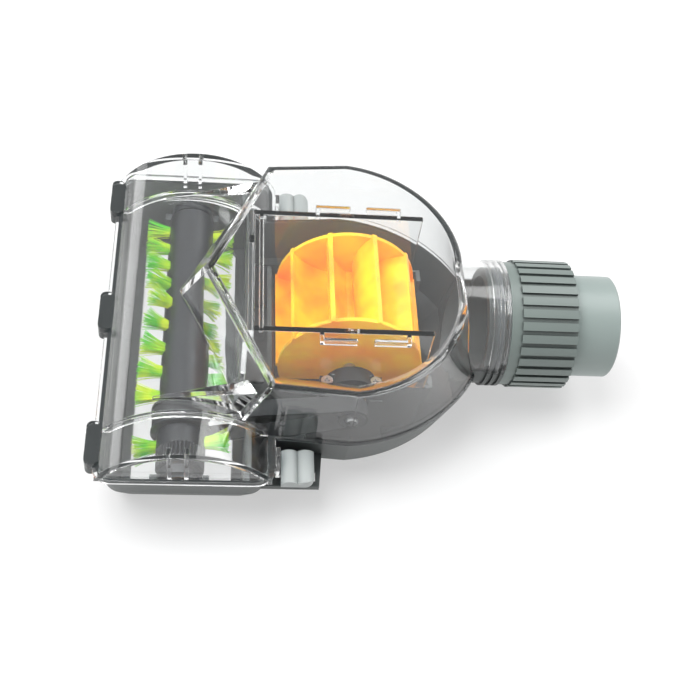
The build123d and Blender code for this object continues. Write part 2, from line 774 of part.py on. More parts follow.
# Bushes, their rubber rings and the bearing caps on each side of the turbine
for side, name in ((1, "far"), (-1, "near")):
    ring_outer_y = side * (pedestal_middle_y + bush_width / 2)
    with BuildPart() as turbine_bush:
        with BuildSketch(slice_at(ring_outer_y)):
            with Locations((turbine_x, turbine_z)):
                Circle(bush_radius)
        extrude(amount=side * bush_width)
        with BuildSketch(slice_at(ring_outer_y)):
            with Locations((turbine_x, turbine_z)):
                Circle(bush_flange_radius)
        extrude(amount=-side * bush_flange)
        with BuildSketch(slice_at(side * bearing_outer_y)):
            with Locations((turbine_x, turbine_z)):
                Circle(axle_radius + running_gap)
        extrude(amount=side * (bush_width + bush_flange), mode=Mode.SUBTRACT)
    turbine_bush.part.label = "turbine_bush_" + name
    export_step(turbine_bush.part, "parts/turbine_bush_" + name + ".step")

    with BuildPart() as bush_cushion:
        with BuildSketch(slice_at(ring_outer_y)):
            with Locations((turbine_x, turbine_z)):
                Circle(cushion_radius)
                Circle(bush_radius, mode=Mode.SUBTRACT)
        extrude(amount=side * bush_width)
    bush_cushion.part.label = "bush_cushion_" + name
    export_step(bush_cushion.part, "parts/bush_cushion_" + name + ".step")

    with BuildPart() as bearing_cap:
        with BuildSketch(slice_at(side * (pedestal_middle_y - pedestal_width / 2 + skin_gap))):
            with Locations((turbine_x, turbine_z)):
                Circle(cap_rise)
                Rectangle(
                    2 * (cap_screw_place + cap_screw_radius + fit_gap) + wall,
                    2 * cap_ear,
                )
                Rectangle(
                    4 * cap_rise,
                    2 * cap_rise,
                    align=(Align.CENTER, Align.MAX),
                    mode=Mode.SUBTRACT,
                )
                Circle(cushion_radius + fit_gap, mode=Mode.SUBTRACT)
        extrude(amount=-side * (pedestal_width - 2 * skin_gap))
        with BuildSketch(Plane.XY.offset(turbine_z + cap_rise)):
            for place in (-cap_screw_place, cap_screw_place):
                with Locations((turbine_x + place, side * pedestal_middle_y)):
                    Circle(cap_screw_head + skin_gap)
        extrude(amount=cap_ear - cap_rise, mode=Mode.SUBTRACT)
        with BuildSketch(Plane.XY.offset(turbine_z)):
            for place in (-cap_screw_place, cap_screw_place):
                with Locations((turbine_x + place, side * pedestal_middle_y)):
                    Circle(cap_screw_radius + fit_gap)
        extrude(amount=cap_ear, mode=Mode.SUBTRACT)
    bearing_cap.part.label = "bearing_cap_" + name
    export_step(bearing_cap.part, "parts/bearing_cap_" + name + ".step")

# Four screws through the bearing caps
with BuildPart() as cap_screws:
    for side in (1, -1):
        for place in (-cap_screw_place, cap_screw_place):
            with BuildSketch(Plane.XY.offset(turbine_z + cap_ear)):
                with Locations((turbine_x + place, side * pedestal_middle_y)):
                    Circle(cap_screw_radius)
            extrude(amount=-cap_ear - cap_screw_depth + wall)
            with BuildSketch(Plane.XY.offset(turbine_z + cap_ear)):
                with Locations((turbine_x + place, side * pedestal_middle_y)):
                    Circle(cap_screw_head)
            extrude(amount=cap_screw_head_height)
            with BuildSketch(Plane.XY.offset(turbine_z + cap_ear + cap_screw_head_height)):
                with Locations((turbine_x + place, side * pedestal_middle_y)):
                    Rectangle(cap_screw_head, cap_screw_head / 4)
                    Rectangle(cap_screw_head / 4, cap_screw_head)
            extrude(amount=-cap_screw_head_height / 2, mode=Mode.SUBTRACT)
cap_screws.part.label = "cap_screws"
export_step(cap_screws.part, "parts/cap_screws.step")


def tuft_plane(row, place, radius):
    """Plane that faces outwards from the roller where a tuft of one V-shaped row stands."""
    y = tuft_first_y - place * tuft_pitch
    angle = math.radians((row + 1) * 180 - tuft_rise + tuft_slope * abs(y - tuft_turn_y))
    outward = (math.cos(angle), 0, math.sin(angle))
    origin = (roller_x + radius * outward[0], y, roller_z + radius * outward[2])
    return Plane(origin=origin, x_dir=(0, 1, 0), z_dir=outward)


def tuft_places(on_ring):
    """Numbers of the tufts on the core, or on the ring beyond the belt."""
    places = []
    for place in range(tuft_count):
        y = tuft_first_y - place * tuft_pitch
        if on_ring and y + tuft_width / 2 < pulley_end_y:
            places.append(place)
        if not on_ring and y - tuft_width / 2 > pulley_start_y:
            places.append(place)
    return places


# Roller core: a round bar with a thin end for the pulley and a pocket for each tuft
with BuildPart() as roller_core:
    with BuildSketch(slice_at(core_half_length)):
        with Locations((roller_x, roller_z)):
            Circle(core_radius)
    extrude(amount=core_half_length - pulley_start_y - fit_gap)
    with BuildSketch(slice_at(core_half_length)):
        with Locations((roller_x, roller_z)):
            Circle(spigot_radius)
    extrude(amount=2 * core_half_length)
    for row in range(2):
        for place in tuft_places(on_ring=False):
            with BuildSketch(tuft_plane(row, place, core_radius - tuft_seat)):
                Rectangle(tuft_width + 2 * fit_gap, tuft_depth + 2 * fit_gap)
            extrude(amount=2 * tuft_seat, mode=Mode.SUBTRACT)
    for end_y, inward in ((core_half_length, 1), (-core_half_length, -1)):
        with BuildSketch(slice_at(end_y)):
            with Locations((roller_x, roller_z)):
                Circle(pin_radius + fit_gap)
        extrude(amount=inward * pin_seat, mode=Mode.SUBTRACT)
roller_core.part.label = "roller_core"
export_step(roller_core.part, "parts/roller_core.step")

# Ring that closes the near end of the roller after the pulley
with BuildPart() as roller_end_ring:
    with BuildSketch(slice_at(pulley_end_y - fit_gap)):
        with Locations((roller_x, roller_z)):
            Circle(core_radius)
            Circle(spigot_radius + fit_gap, mode=Mode.SUBTRACT)
    extrude(amount=core_half_length + pulley_end_y - fit_gap)
    for row in range(2):
        for place in tuft_places(on_ring=True):
            with BuildSketch(tuft_plane(row, place, core_radius - tuft_seat)):
                Rectangle(tuft_width + 2 * fit_gap, tuft_depth + 2 * fit_gap)
            extrude(amount=2 * tuft_seat, mode=Mode.SUBTRACT)
roller_end_ring.part.label = "roller_end_ring"
export_step(roller_end_ring.part, "parts/roller_end_ring.step")

# Two rows of bristle tufts, each a shallow V along the roller
for row, name in ((0, "a"), (1, "b")):
    with BuildPart() as bristle_row:
        for place in tuft_places(on_ring=False) + tuft_places(on_ring=True):
            with BuildSketch(tuft_plane(row, place, core_radius - tuft_seat)):
                Rectangle(tuft_width, tuft_depth)
            extrude(amount=tuft_seat)
            with BuildSketch(tuft_plane(row, place, core_radius)):
                Rectangle(tuft_width, tuft_depth)
            extrude(amount=tip_radius - core_radius, taper=-tuft_flare)
    bristle_row.part.label = "bristle_row_" + name
    export_step(bristle_row.part, "parts/bristle_row_" + name + ".step")

# Pins, bushes and holders at both ends of the roller
for side, name in ((1, "far"), (-1, "near")):
    holder_outer_y = side * (holder_inner_y + holder_width)
    with BuildPart() as roller_pin:
        with BuildSketch(slice_at(side * (core_half_length - pin_seat + skin_gap))):
            with Locations((roller_x, roller_z)):
                Circle(pin_radius)
        extrude(amount=-side * (holder_inner_y + holder_width - core_half_length + pin_seat - skin_gap))
        chamfer(roller_pin.edges(), axle_chamfer)
    roller_pin.part.label = "roller_pin_" + name
    export_step(roller_pin.part, "parts/roller_pin_" + name + ".step")

    with BuildPart() as roller_bush:
        with BuildSketch(slice_at(holder_outer_y)):
            with Locations((roller_x, roller_z)):
                Circle(roller_bush_radius)
        extrude(amount=side * holder_width)
        with BuildSketch(slice_at(side * holder_inner_y)):
            with Locations((roller_x, roller_z)):
                Circle(roller_bush_flange_radius)
        extrude(amount=side * roller_bush_flange)
        with BuildSketch(slice_at(holder_outer_y)):
            with Locations((roller_x, roller_z)):
                Circle(pin_radius + running_gap)
        extrude(amount=side * (holder_width + roller_bush_flange), mode=Mode.SUBTRACT)
    roller_bush.part.label = "roller_bush_" + name
    export_step(roller_bush.part, "parts/roller_bush_" + name + ".step")

    with BuildPart() as roller_holder:
        with BuildSketch(slice_at(holder_outer_y)):
            with Locations((roller_x, roller_z)):
                Circle(holder_radius)
                Rectangle(
                    2 * holder_radius,
                    roller_z - holder_foot_z,
                    align=(Align.CENTER, Align.MAX),
                )
                Circle(roller_bush_radius, mode=Mode.SUBTRACT)
        extrude(amount=side * holder_width)
    roller_holder.part.label = "roller_holder_" + name
    export_step(roller_holder.part, "parts/roller_holder_" + name + ".step")

# Connector tube with the flange that keeps it in the neck
with BuildPart() as connector_tube:
    with BuildSketch(section_at(tube_start_x)):
        with Locations((0, neck_z)):
            Circle(tube_radius)
    extrude(amount=overall_length / 2 - tube_start_x)
    with BuildSketch(section_at(tube_start_x)):
        with Locations((0, neck_z)):
            Circle(tube_flange_radius)
    extrude(amount=tube_flange)
    with BuildSketch(section_at(tube_start_x)):
        with Locations((0, neck_z)):
            Circle(tube_bore_radius)
    extrude(amount=overall_length / 2 - tube_start_x, mode=Mode.SUBTRACT)
    chamfer(connector_tube.faces().sort_by(Axis.X)[-1].edges(), tube_chamfer)
connector_tube.part.label = "connector_tube"
export_step(connector_tube.part, "parts/connector_tube.step")

# Felt ring between the flange and the lip of the neck
with BuildPart() as swivel_seal:
    with BuildSketch(section_at(tube_start_x + tube_flange)):
        with Locations((0, neck_z)):
            Circle(tube_flange_radius)
            Circle(tube_radius + fit_gap, mode=Mode.SUBTRACT)
    extrude(amount=seal_width)
swivel_seal.part.label = "swivel_seal"
export_step(swivel_seal.part, "parts/swivel_seal.step")

# Grooved collar on the tube, with a plain band towards the neck
with BuildPart() as swivel_collar:
    with BuildSketch(section_at(collar_x)):
        with Locations((0, neck_z)):
            Circle(collar_radius - collar_band_drop)
    extrude(amount=collar_band)
    with BuildSketch(section_at(collar_x + collar_band)):
        with Locations((0, neck_z)):
            Circle(collar_radius)
            with PolarLocations(collar_radius, collar_grooves):
                Rectangle(2 * collar_groove_depth, collar_groove_width, mode=Mode.SUBTRACT)
    extrude(amount=collar_length - collar_band)
    with BuildSketch(section_at(collar_x)):
        with Locations((0, neck_z)):
            Circle(tube_radius + fit_gap)
    extrude(amount=collar_length, mode=Mode.SUBTRACT)
swivel_collar.part.label = "swivel_collar"
export_step(swivel_collar.part, "parts/swivel_collar.step")

# Side latches: a thin tab with two humps over a body, and a foot through the shelf
for side, name in ((1, "far"), (-1, "near")):
    with BuildPart() as latch:
        with BuildSketch(slice_at(side * latch_inner_y)):
            with BuildLine():
                front = Line((latch_x, tab_z), (latch_x, latch_top_z - latch_hump))
                first = ThreePointArc(
                    front @ 1,
                    (latch_x + latch_length / 4, latch_top_z),
                    (latch_x + latch_length / 2, latch_top_z - latch_hump),
                )
                second = ThreePointArc(
                    first @ 1,
                    (latch_x + latch_length * 3 / 4, latch_top_z),
                    (latch_x + latch_length, latch_top_z - latch_hump),
                )
                Polyline(second @ 1, (latch_x + latch_length, tab_z), front @ 0)
            make_face()
        extrude(amount=-side * (latch_outer_y - latch_inner_y))
        rear_corners = latch.edges().filter_by(Axis.Z).group_by(Axis.X)[-1].sort_by(Axis.Y)
        fillet(rear_corners[-1] if side > 0 else rear_corners[0], latch_corner)
        with BuildSketch(Plane.XY.offset(shelf_z + skin_gap)):
            with Locations((latch_cavity_x, side * latch_middle_y)):
                Rectangle(
                    latch_x + latch_length - latch_cavity_x,
                    hook_width,
                    align=(Align.MIN, Align.CENTER),
                )
        extrude(amount=tab_z - shelf_z - skin_gap)
        with BuildSketch(Plane.XY.offset(shelf_z + skin_gap)):
            with Locations((latch_foot_x, side * latch_middle_y)):
                Rectangle(latch_foot_length, latch_foot_width)
        extrude(amount=-shelf_thick - 2 * skin_gap)
        with BuildSketch(Plane.XY.offset(shelf_z - shelf_thick - skin_gap)):
            with Locations((latch_foot_x, side * latch_middle_y)):
                Rectangle(latch_foot_length, latch_head_width)
        extrude(amount=-latch_head_height)
    latch.part.label = "latch_" + name
    export_step(latch.part, "parts/latch_" + name + ".step")

# Lint strips before and behind the mouth, and the rear glide
for strip_x, name in ((strip_places[0], "front_strip"), (strip_places[1], "rear_strip")):
    with BuildPart() as strip:
        with BuildSketch(Plane.XY):
            with Locations((strip_x, 0)):
                Rectangle(strip_depth, 2 * strip_half_width)
        extrude(amount=sole_z + strip_seat)
    strip.part.label = name
    export_step(strip.part, "parts/" + name + ".step")

with BuildPart() as rear_glide:
    with BuildSketch(Plane.XY):
        with Locations((glide_x, 0)):
            RectangleRounded(glide_depth, 2 * glide_half_width, glide_corner)
    extrude(amount=sole_z + strip_seat)
    chamfer(rear_glide.faces().sort_by(Axis.Z)[0].edges(), glide_chamfer)
rear_glide.part.label = "rear_glide"
export_step(rear_glide.part, "parts/rear_glide.step")
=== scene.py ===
import math
import random

import bmesh
import bpy
from mathutils import Matrix, Vector


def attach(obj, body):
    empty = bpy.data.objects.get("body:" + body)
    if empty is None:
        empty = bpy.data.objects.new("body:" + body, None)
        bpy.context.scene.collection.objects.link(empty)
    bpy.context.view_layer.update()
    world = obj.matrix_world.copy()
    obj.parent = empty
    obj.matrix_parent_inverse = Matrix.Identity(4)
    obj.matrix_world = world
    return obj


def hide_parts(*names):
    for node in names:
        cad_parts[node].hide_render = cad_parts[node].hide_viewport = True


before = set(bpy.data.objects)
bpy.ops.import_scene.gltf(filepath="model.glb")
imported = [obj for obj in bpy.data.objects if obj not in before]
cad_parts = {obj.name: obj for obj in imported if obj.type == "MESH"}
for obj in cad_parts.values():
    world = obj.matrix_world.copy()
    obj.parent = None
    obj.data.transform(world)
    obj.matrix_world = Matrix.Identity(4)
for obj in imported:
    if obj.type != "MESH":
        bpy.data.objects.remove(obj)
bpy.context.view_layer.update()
MM = 0.001


# Base housing: the grey tray that carries everything, injection moulded in ABS.
# Its outside is spark-eroded to a fine satin grain, and its inside is darkened with painted shade.
# The grain breaks highlights up, so the plastic looks soft and slightly dry.
def linear_colour(hex_colour):
    """An sRGB hex colour as linear values with full alpha."""
    parts = [int(hex_colour[i:i + 2], 16) / 255 for i in (1, 3, 5)]
    return [c / 12.92 if c <= 0.04045 else ((c + 0.055) / 1.055) ** 2.4 for c in parts] + [1.0]


def add_node(tree, kind, settings=None, links=None):
    """Adds a node, sets its properties or sockets, and links its inputs from other sockets."""
    made = tree.nodes.new(kind)
    for key, value in (settings or {}).items():
        if key in made.inputs.keys() or isinstance(key, int):
            made.inputs[key].default_value = value
        else:
            setattr(made, key, value)
    for key, source in (links or {}).items():
        tree.links.new(source, made.inputs[key])
    return made


def new_material(name):
    """An empty node material and its tree."""
    material = bpy.data.materials.new(name)
    material.use_nodes = True
    material.node_tree.nodes.clear()
    return material, material.node_tree


def moulded(name, colour, deep, hollow_shade, roughness, grain_mm, grain_height, ior=1.53, shade_reach=2.2):
    """Moulded plastic: a fine grain, uneven colour from the melt, and painted shade in the
    hollows.
    """
    material, tree = new_material(name)
    where = add_node(tree, "ShaderNodeTexCoord")
    grain = add_node(
        tree, "ShaderNodeTexNoise",
        {"Scale": 1 / (grain_mm * MM), "Detail": 4.0, "Roughness": 0.6},
        {"Vector": where.outputs["Object"]},
    )
    cloud = add_node(
        tree, "ShaderNodeTexNoise",
        {"Scale": 1 / (28 * MM), "Detail": 3.0},
        {"Vector": where.outputs["Object"]},
    )
    tone = add_node(
        tree, "ShaderNodeMix",
        {"data_type": "RGBA", 6: linear_colour(deep), 7: linear_colour(colour)},
        {0: cloud.outputs["Fac"]},
    )
    # Painted shade: the fourth colour is mixed in where ambient occlusion finds surfaces close by.
    corner = add_node(
        tree, "ShaderNodeAmbientOcclusion",
        {"samples": 6, "only_local": True, "Distance": shade_reach * MM},
    )
    shade_amount = add_node(
        tree, "ShaderNodeMapRange",
        {"From Min": 0.92, "From Max": 0.4, "To Min": 0.0, "To Max": 0.85},
        {"Value": corner.outputs["AO"]},
    )
    shaded_tone = add_node(
        tree, "ShaderNodeMix",
        {"data_type": "RGBA", 7: linear_colour(hollow_shade)},
        {0: shade_amount.outputs[0], 6: tone.outputs[2]},
    )
    gloss = add_node(
        tree, "ShaderNodeMapRange",
        {"To Min": roughness * 0.82, "To Max": roughness * 1.18},
        {"Value": grain.outputs["Fac"]},
    )
    bump = add_node(
        tree, "ShaderNodeBump",
        {"Strength": 0.35, "Distance": grain_height * MM},
        {"Height": grain.outputs["Fac"]},
    )
    shader = add_node(
        tree, "ShaderNodeBsdfPrincipled",
        {"IOR": ior},
        {
            "Base Color": shaded_tone.outputs[2],
            "Roughness": gloss.outputs[0],
            "Normal": bump.outputs["Normal"],
        },
    )
    add_node(tree, "ShaderNodeOutputMaterial", None, {"Surface": shader.outputs[0]})
    return material


def dress(material, *nodes):
    """Gives CAD nodes their finish through their own material slots."""
    for node in nodes:
        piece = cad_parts[node]
        if not piece.material_slots:
            piece.data.materials.append(None)
        for slot in piece.material_slots:
            slot.material = material


# Painted shade: the dark fourth colour is laid over the inside wherever the tray's own walls lie
# within 18 mm.
grey_abs = moulded(
    "moulded_grey_abs", "#4b504f", "#444948", "#232628", 0.42, 0.55, 0.02, shade_reach=18
)
dress(grey_abs, "base_housing")

# Sole: two felt lint strips glued into shallow seats, and a felt ring round the tube.
# Felt is pressed wool fibre, so it is dull and finely mottled, with a little sheen.
felt, tree = new_material("pressed_wool_felt")
where = add_node(tree, "ShaderNodeTexCoord")
fibre = add_node(
    tree, "ShaderNodeTexNoise",
    {"Scale": 1 / (0.7 * MM), "Detail": 6.0, "Roughness": 0.75, "Distortion": 1.2},
    {"Vector": where.outputs["Object"]},
)
mottle = add_node(
    tree, "ShaderNodeMix",
    {"data_type": "RGBA", 6: linear_colour("#3d4042"), 7: linear_colour("#6b6e70")},
    {0: fibre.outputs["Fac"]},
)
nap = add_node(
    tree, "ShaderNodeBump",
    {"Strength": 0.8, "Distance": 0.25 * MM},
    {"Height": fibre.outputs["Fac"]},
)
shader = add_node(
    tree, "ShaderNodeBsdfPrincipled",
    {"Roughness": 0.95, "IOR": 1.45, "Sheen Weight": 0.3, "Sheen Roughness": 0.6},
    {"Base Color": mottle.outputs[2], "Normal": nap.outputs["Normal"]},
)
add_node(tree, "ShaderNodeOutputMaterial", None, {"Surface": shader.outputs[0]})
dress(felt, "front_strip", "rear_strip", "swivel_seal")

# Rear glide: a bar of natural acetal snapped into the sole, milky white and waxy.
# It wears to a dull shine, so it is only a little glossier than the base.
# Painted shade: the fourth colour darkens the hollows.
acetal = moulded("natural_acetal", "#d9d8cf", "#cfcec5", "#a9a79c", 0.3, 0.9, 0.006, 1.48)
dress(acetal, "rear_glide")

# Roller and its holders: dark moulded nylon, a bar with a ring and a pulley on its near end.
# The nylon is smooth and slightly waxy, so it keeps soft wide highlights.
# Painted shade: the fourth colour darkens the hollows.
dark_nylon = moulded("dark_moulded_nylon", "#171c22", "#12161b", "#0c0f12", 0.34, 0.8, 0.004)
dress(dark_nylon, "roller_core", "roller_pulley", "roller_holder_far", "roller_holder_near")
dress(dark_nylon, "drive_pinion", "bearing_cap_far", "bearing_cap_near")

# End ring of the roller: the same nylon, pressed on after the pulley.
# Fine flutes round its outer half let fingers turn the roller to clear it.
roller_x, roller_z = -58.2, 16.4
ring_radius, ring_bore = 7.8, 5.25
ring_start_y, flute_start_y, ring_end_y = -40.05, -46.6, -52.0
ring_edge = 0.3
flutes, steps_in_flute, flute_depth = 40, 6, 0.55
flute_runout = 0.7
flute_sharpness = 1.6

ring_mesh = bmesh.new()
ring_loops = []
for y, radius, fluted in (
    (ring_start_y, ring_bore, 0),
    (ring_start_y, ring_radius - ring_edge, 0),
    (ring_start_y - ring_edge, ring_radius, 0),
    (flute_start_y, ring_radius, 0),
    (flute_start_y - flute_runout, ring_radius, 1),
    (ring_end_y + ring_edge, ring_radius, 1),
    (ring_end_y, ring_radius - ring_edge, 1),
    (ring_end_y, ring_bore, 0),
):
    loop = []
    for i in range(flutes * steps_in_flute):
        turn = 2 * math.pi * i / (flutes * steps_in_flute)
        hollow = 0.5 - 0.5 * math.cos(flutes * turn)
        cut = fluted * flute_depth * hollow ** flute_sharpness
        reach = radius - cut
        loop.append(ring_mesh.verts.new((
            (roller_x + reach * math.cos(turn)) * MM,
            y * MM,
            (roller_z + reach * math.sin(turn)) * MM,
        )))
    ring_loops.append(loop)
for near, far in zip(ring_loops, ring_loops[1:] + ring_loops[:1]):
    for i in range(len(near)):
        ring_mesh.faces.new((near[i - 1], near[i], far[i], far[i - 1]))
bmesh.ops.recalc_face_normals(ring_mesh, faces=ring_mesh.faces)
ring_data = bpy.data.meshes.new("fluted_end_ring")
ring_mesh.to_mesh(ring_data)
ring_mesh.free()
end_ring = bpy.data.objects.new("fluted_end_ring", ring_data)
bpy.context.scene.collection.objects.link(end_ring)
ring_data.materials.append(dark_nylon)
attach(end_ring, "roller")
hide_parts("roller_end_ring")

# Pins, axle and screws: ground steel bar, with fine lines round it from the wheel.
# The lines stretch its highlights across the bar.
ground_steel, tree = new_material("ground_steel")
where = add_node(tree, "ShaderNodeTexCoord")
stretch = add_node(
    tree, "ShaderNodeMapping",
    {"Scale": (1.0, 14.0, 1.0)},
    {"Vector": where.outputs["Object"]},
)
lines = add_node(
    tree, "ShaderNodeTexNoise",
    {"Scale": 1 / (1.2 * MM), "Detail": 5.0},
    {"Vector": stretch.outputs["Vector"]},
)
polish = add_node(
    tree, "ShaderNodeMapRange",
    {"To Min": 0.2, "To Max": 0.38},
    {"Value": lines.outputs["Fac"]},
)
shader = add_node(
    tree, "ShaderNodeBsdfPrincipled",
    {"Base Color": linear_colour("#b9babc"), "Metallic": 1.0},
    {"Roughness": polish.outputs[0]},
)
add_node(tree, "ShaderNodeOutputMaterial", None, {"Surface": shader.outputs[0]})
dress(ground_steel, "roller_pin_far", "roller_pin_near", "turbine_axle", "cap_screws")

# Bristles: tufts of extruded nylon filament, folded and driven into pockets in two rows.
# Each row runs as a shallow V along the roller, highest a little beyond its middle.
# The filament comes in batches of green and yellow lime, so the tufts differ a little.
bristle_nylon, tree = new_material("lime_nylon_filament")
where = add_node(tree, "ShaderNodeTexCoord")
strand = add_node(
    tree, "ShaderNodeTexNoise",
    {"Scale": 1 / (9 * MM), "Detail": 2.0},
    {"Vector": where.outputs["Object"]},
)
batch = add_node(
    tree, "ShaderNodeMapRange",
    {"From Min": 0.38, "From Max": 0.62},
    {"Value": strand.outputs["Fac"]},
)
lime = add_node(
    tree, "ShaderNodeMix",
    {"data_type": "RGBA", 6: linear_colour("#52cc04"), 7: linear_colour("#d8ee00")},
    {0: batch.outputs[0]},
)
# A faint emission in the same lime colours is a painted glow on the tufts.
shader = add_node(
    tree, "ShaderNodeBsdfPrincipled",
    {
        "Roughness": 0.35,
        "IOR": 1.53,
        "Subsurface Weight": 0.2,
        "Subsurface Radius": (0.4, 1.0, 0.2),
        "Subsurface Scale": 0.6 * MM,
        "Emission Strength": 0.04,
    },
    {"Base Color": lime.outputs[2], "Emission Color": lime.outputs[2]},
)
add_node(tree, "ShaderNodeOutputMaterial", None, {"Surface": shader.outputs[0]})

core_radius, tip_radius = 7.4, 15.6
first_tuft_y, tuft_pitch, tuft_count = 46.0, 9.0, 11
tuft_rise, tuft_slope, tuft_turn_y = 40.0, 0.95, 10.0
belt_y, belt_space = -35.5, 6.0
strands_in_tuft = 96
strand_half, strand_taper, strand_steps = 0.16, 0.35, 3
tuft_half_length, tuft_half_width = 1.7, 1.2
tuft_spread_length, tuft_spread_width = 2.0, 1.6
strand_stray, trim_unevenness, bend_power = 0.5, 0.7, 1.4


def bristle_row(name, turn, node):
    """One row of tufts, each a fan of fine four-sided filaments."""
    mesh = bmesh.new()
    chance = random.Random(turn)
    along = Vector((0, 1, 0))
    for place in range(tuft_count):
        y = first_tuft_y - tuft_pitch * place
        if abs(y - belt_y) < belt_space:
            continue
        angle = math.radians(turn - tuft_rise + tuft_slope * abs(y - tuft_turn_y))
        out = Vector((math.cos(angle), 0, math.sin(angle)))
        across = Vector((-math.sin(angle), 0, math.cos(angle)))
        for _ in range(strands_in_tuft):
            u, v = chance.uniform(-1, 1), chance.uniform(-1, 1)
            foot = Vector((roller_x, y, roller_z)) + out * core_radius
            foot += along * u * tuft_half_length + across * v * tuft_half_width
            reach = tip_radius - core_radius - chance.uniform(0, trim_unevenness)
            stray = chance.uniform(-strand_stray, strand_stray)
            lean = along * (u * tuft_spread_length + stray)
            stray = chance.uniform(-strand_stray, strand_stray)
            lean += across * (v * tuft_spread_width + stray)
            rings = []
            for step in range(strand_steps + 1):
                t = step / strand_steps
                centre = foot + out * reach * t + lean * t ** bend_power
                half = strand_half * (1 - strand_taper * t)
                rings.append([
                    mesh.verts.new((centre + along * a * half + across * b * half) * MM)
                    for a, b in ((-1, 0), (0, 1), (1, 0), (0, -1))
                ])
            for low, high in zip(rings, rings[1:]):
                for i in range(4):
                    mesh.faces.new((low[i], low[(i + 1) % 4], high[(i + 1) % 4], high[i]))
            mesh.faces.new(rings[-1])
            mesh.faces.new(rings[0][::-1])
    bmesh.ops.recalc_face_normals(mesh, faces=mesh.faces)
    data = bpy.data.meshes.new(name)
    mesh.to_mesh(data)
    mesh.free()
    piece = bpy.data.objects.new(name, data)
    bpy.context.scene.collection.objects.link(piece)
    data.materials.append(bristle_nylon)
    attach(piece, "roller")
    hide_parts(node)


bristle_row("bristle_tufts_a", 180, "bristle_row_a")
bristle_row("bristle_tufts_b", 360, "bristle_row_b")

# Bearings: sintered bronze bushes, pressed into the roller holders and the rubber rings.
# Sintered bronze is dull and finely pitted, because it is pressed from powder.
bronze, tree = new_material("sintered_bronze")
where = add_node(tree, "ShaderNodeTexCoord")
pores = add_node(
    tree, "ShaderNodeTexNoise",
    {"Scale": 1 / (0.5 * MM), "Detail": 5.0, "Roughness": 0.7},
    {"Vector": where.outputs["Object"]},
)
dull = add_node(
    tree, "ShaderNodeMapRange",
    {"To Min": 0.38, "To Max": 0.6},
    {"Value": pores.outputs["Fac"]},
)
pits = add_node(
    tree, "ShaderNodeBump",
    {"Strength": 0.4, "Distance": 0.03 * MM},
    {"Height": pores.outputs["Fac"]},
)
shader = add_node(
    tree, "ShaderNodeBsdfPrincipled",
    {"Base Color": linear_colour("#9a774c"), "Metallic": 1.0},
    {"Roughness": dull.outputs[0], "Normal": pits.outputs["Normal"]},
)
add_node(tree, "ShaderNodeOutputMaterial", None, {"Surface": shader.outputs[0]})
dress(bronze, "roller_bush_far", "roller_bush_near", "turbine_bush_far", "turbine_bush_near")

# Turbine wheel: bright orange ABS, moulded in one piece with thin swept vanes.
# The vanes let light through, and a painted glow in orange stands in for its slightly fluorescent
# pigment, so it seems to glow.
orange_abs, tree = new_material("orange_moulded_abs")
where = add_node(tree, "ShaderNodeTexCoord")
cloud = add_node(
    tree, "ShaderNodeTexNoise",
    {"Scale": 1 / (14 * MM), "Detail": 3.0},
    {"Vector": where.outputs["Object"]},
)
grain = add_node(
    tree, "ShaderNodeTexNoise",
    {"Scale": 1 / (0.6 * MM), "Detail": 4.0},
    {"Vector": where.outputs["Object"]},
)
melt = add_node(
    tree, "ShaderNodeMapRange",
    {"From Min": 0.3, "From Max": 0.64},
    {"Value": cloud.outputs["Fac"]},
)
warmth = add_node(
    tree, "ShaderNodeMix",
    {"data_type": "RGBA", 6: linear_colour("#ff8800"), 7: linear_colour("#ffd400")},
    {0: melt.outputs[0]},
)
bump = add_node(
    tree, "ShaderNodeBump",
    {"Strength": 0.2, "Distance": 0.012 * MM},
    {"Height": grain.outputs["Fac"]},
)
# The orange emission below is a painted glow, lit by no lamp.
shader = add_node(
    tree, "ShaderNodeBsdfPrincipled",
    {
        "Roughness": 0.3,
        "IOR": 1.53,
        "Subsurface Weight": 0.35,
        "Subsurface Radius": (3.0, 1.8, 0.2),
        "Subsurface Scale": 1.2 * MM,
        "Emission Color": linear_colour("#ffa800"),
        "Emission Strength": 0.2,
    },
    {"Base Color": warmth.outputs[2], "Normal": bump.outputs["Normal"]},
)
add_node(tree, "ShaderNodeOutputMaterial", None, {"Surface": shader.outputs[0]})
dress(orange_abs, "turbine_wheel")

# Belt and cushions: moulded black rubber, dull with a slight bloom.
# The belt runs from the pinion on the turbine axle to the pulley on the roller.
rubber, tree = new_material("moulded_black_rubber")
where = add_node(tree, "ShaderNodeTexCoord")
bloom = add_node(
    tree, "ShaderNodeTexNoise",
    {"Scale": 1 / (3 * MM), "Detail": 5.0},
    {"Vector": where.outputs["Object"]},
)
black = add_node(
    tree, "ShaderNodeMix",
    {"data_type": "RGBA", 6: linear_colour("#161718"), 7: linear_colour("#26282a")},
    {0: bloom.outputs["Fac"]},
)
skin = add_node(
    tree, "ShaderNodeBump",
    {"Strength": 0.3, "Distance": 0.03 * MM},
    {"Height": bloom.outputs["Fac"]},
)
shader = add_node(
    tree, "ShaderNodeBsdfPrincipled",
    {"Roughness": 0.7, "IOR": 1.52},
    {"Base Color": black.outputs[2], "Normal": skin.outputs["Normal"]},
)
add_node(tree, "ShaderNodeOutputMaterial", None, {"Surface": shader.outputs[0]})
dress(rubber, "drive_belt", "bush_cushion_far", "bush_cushion_near")
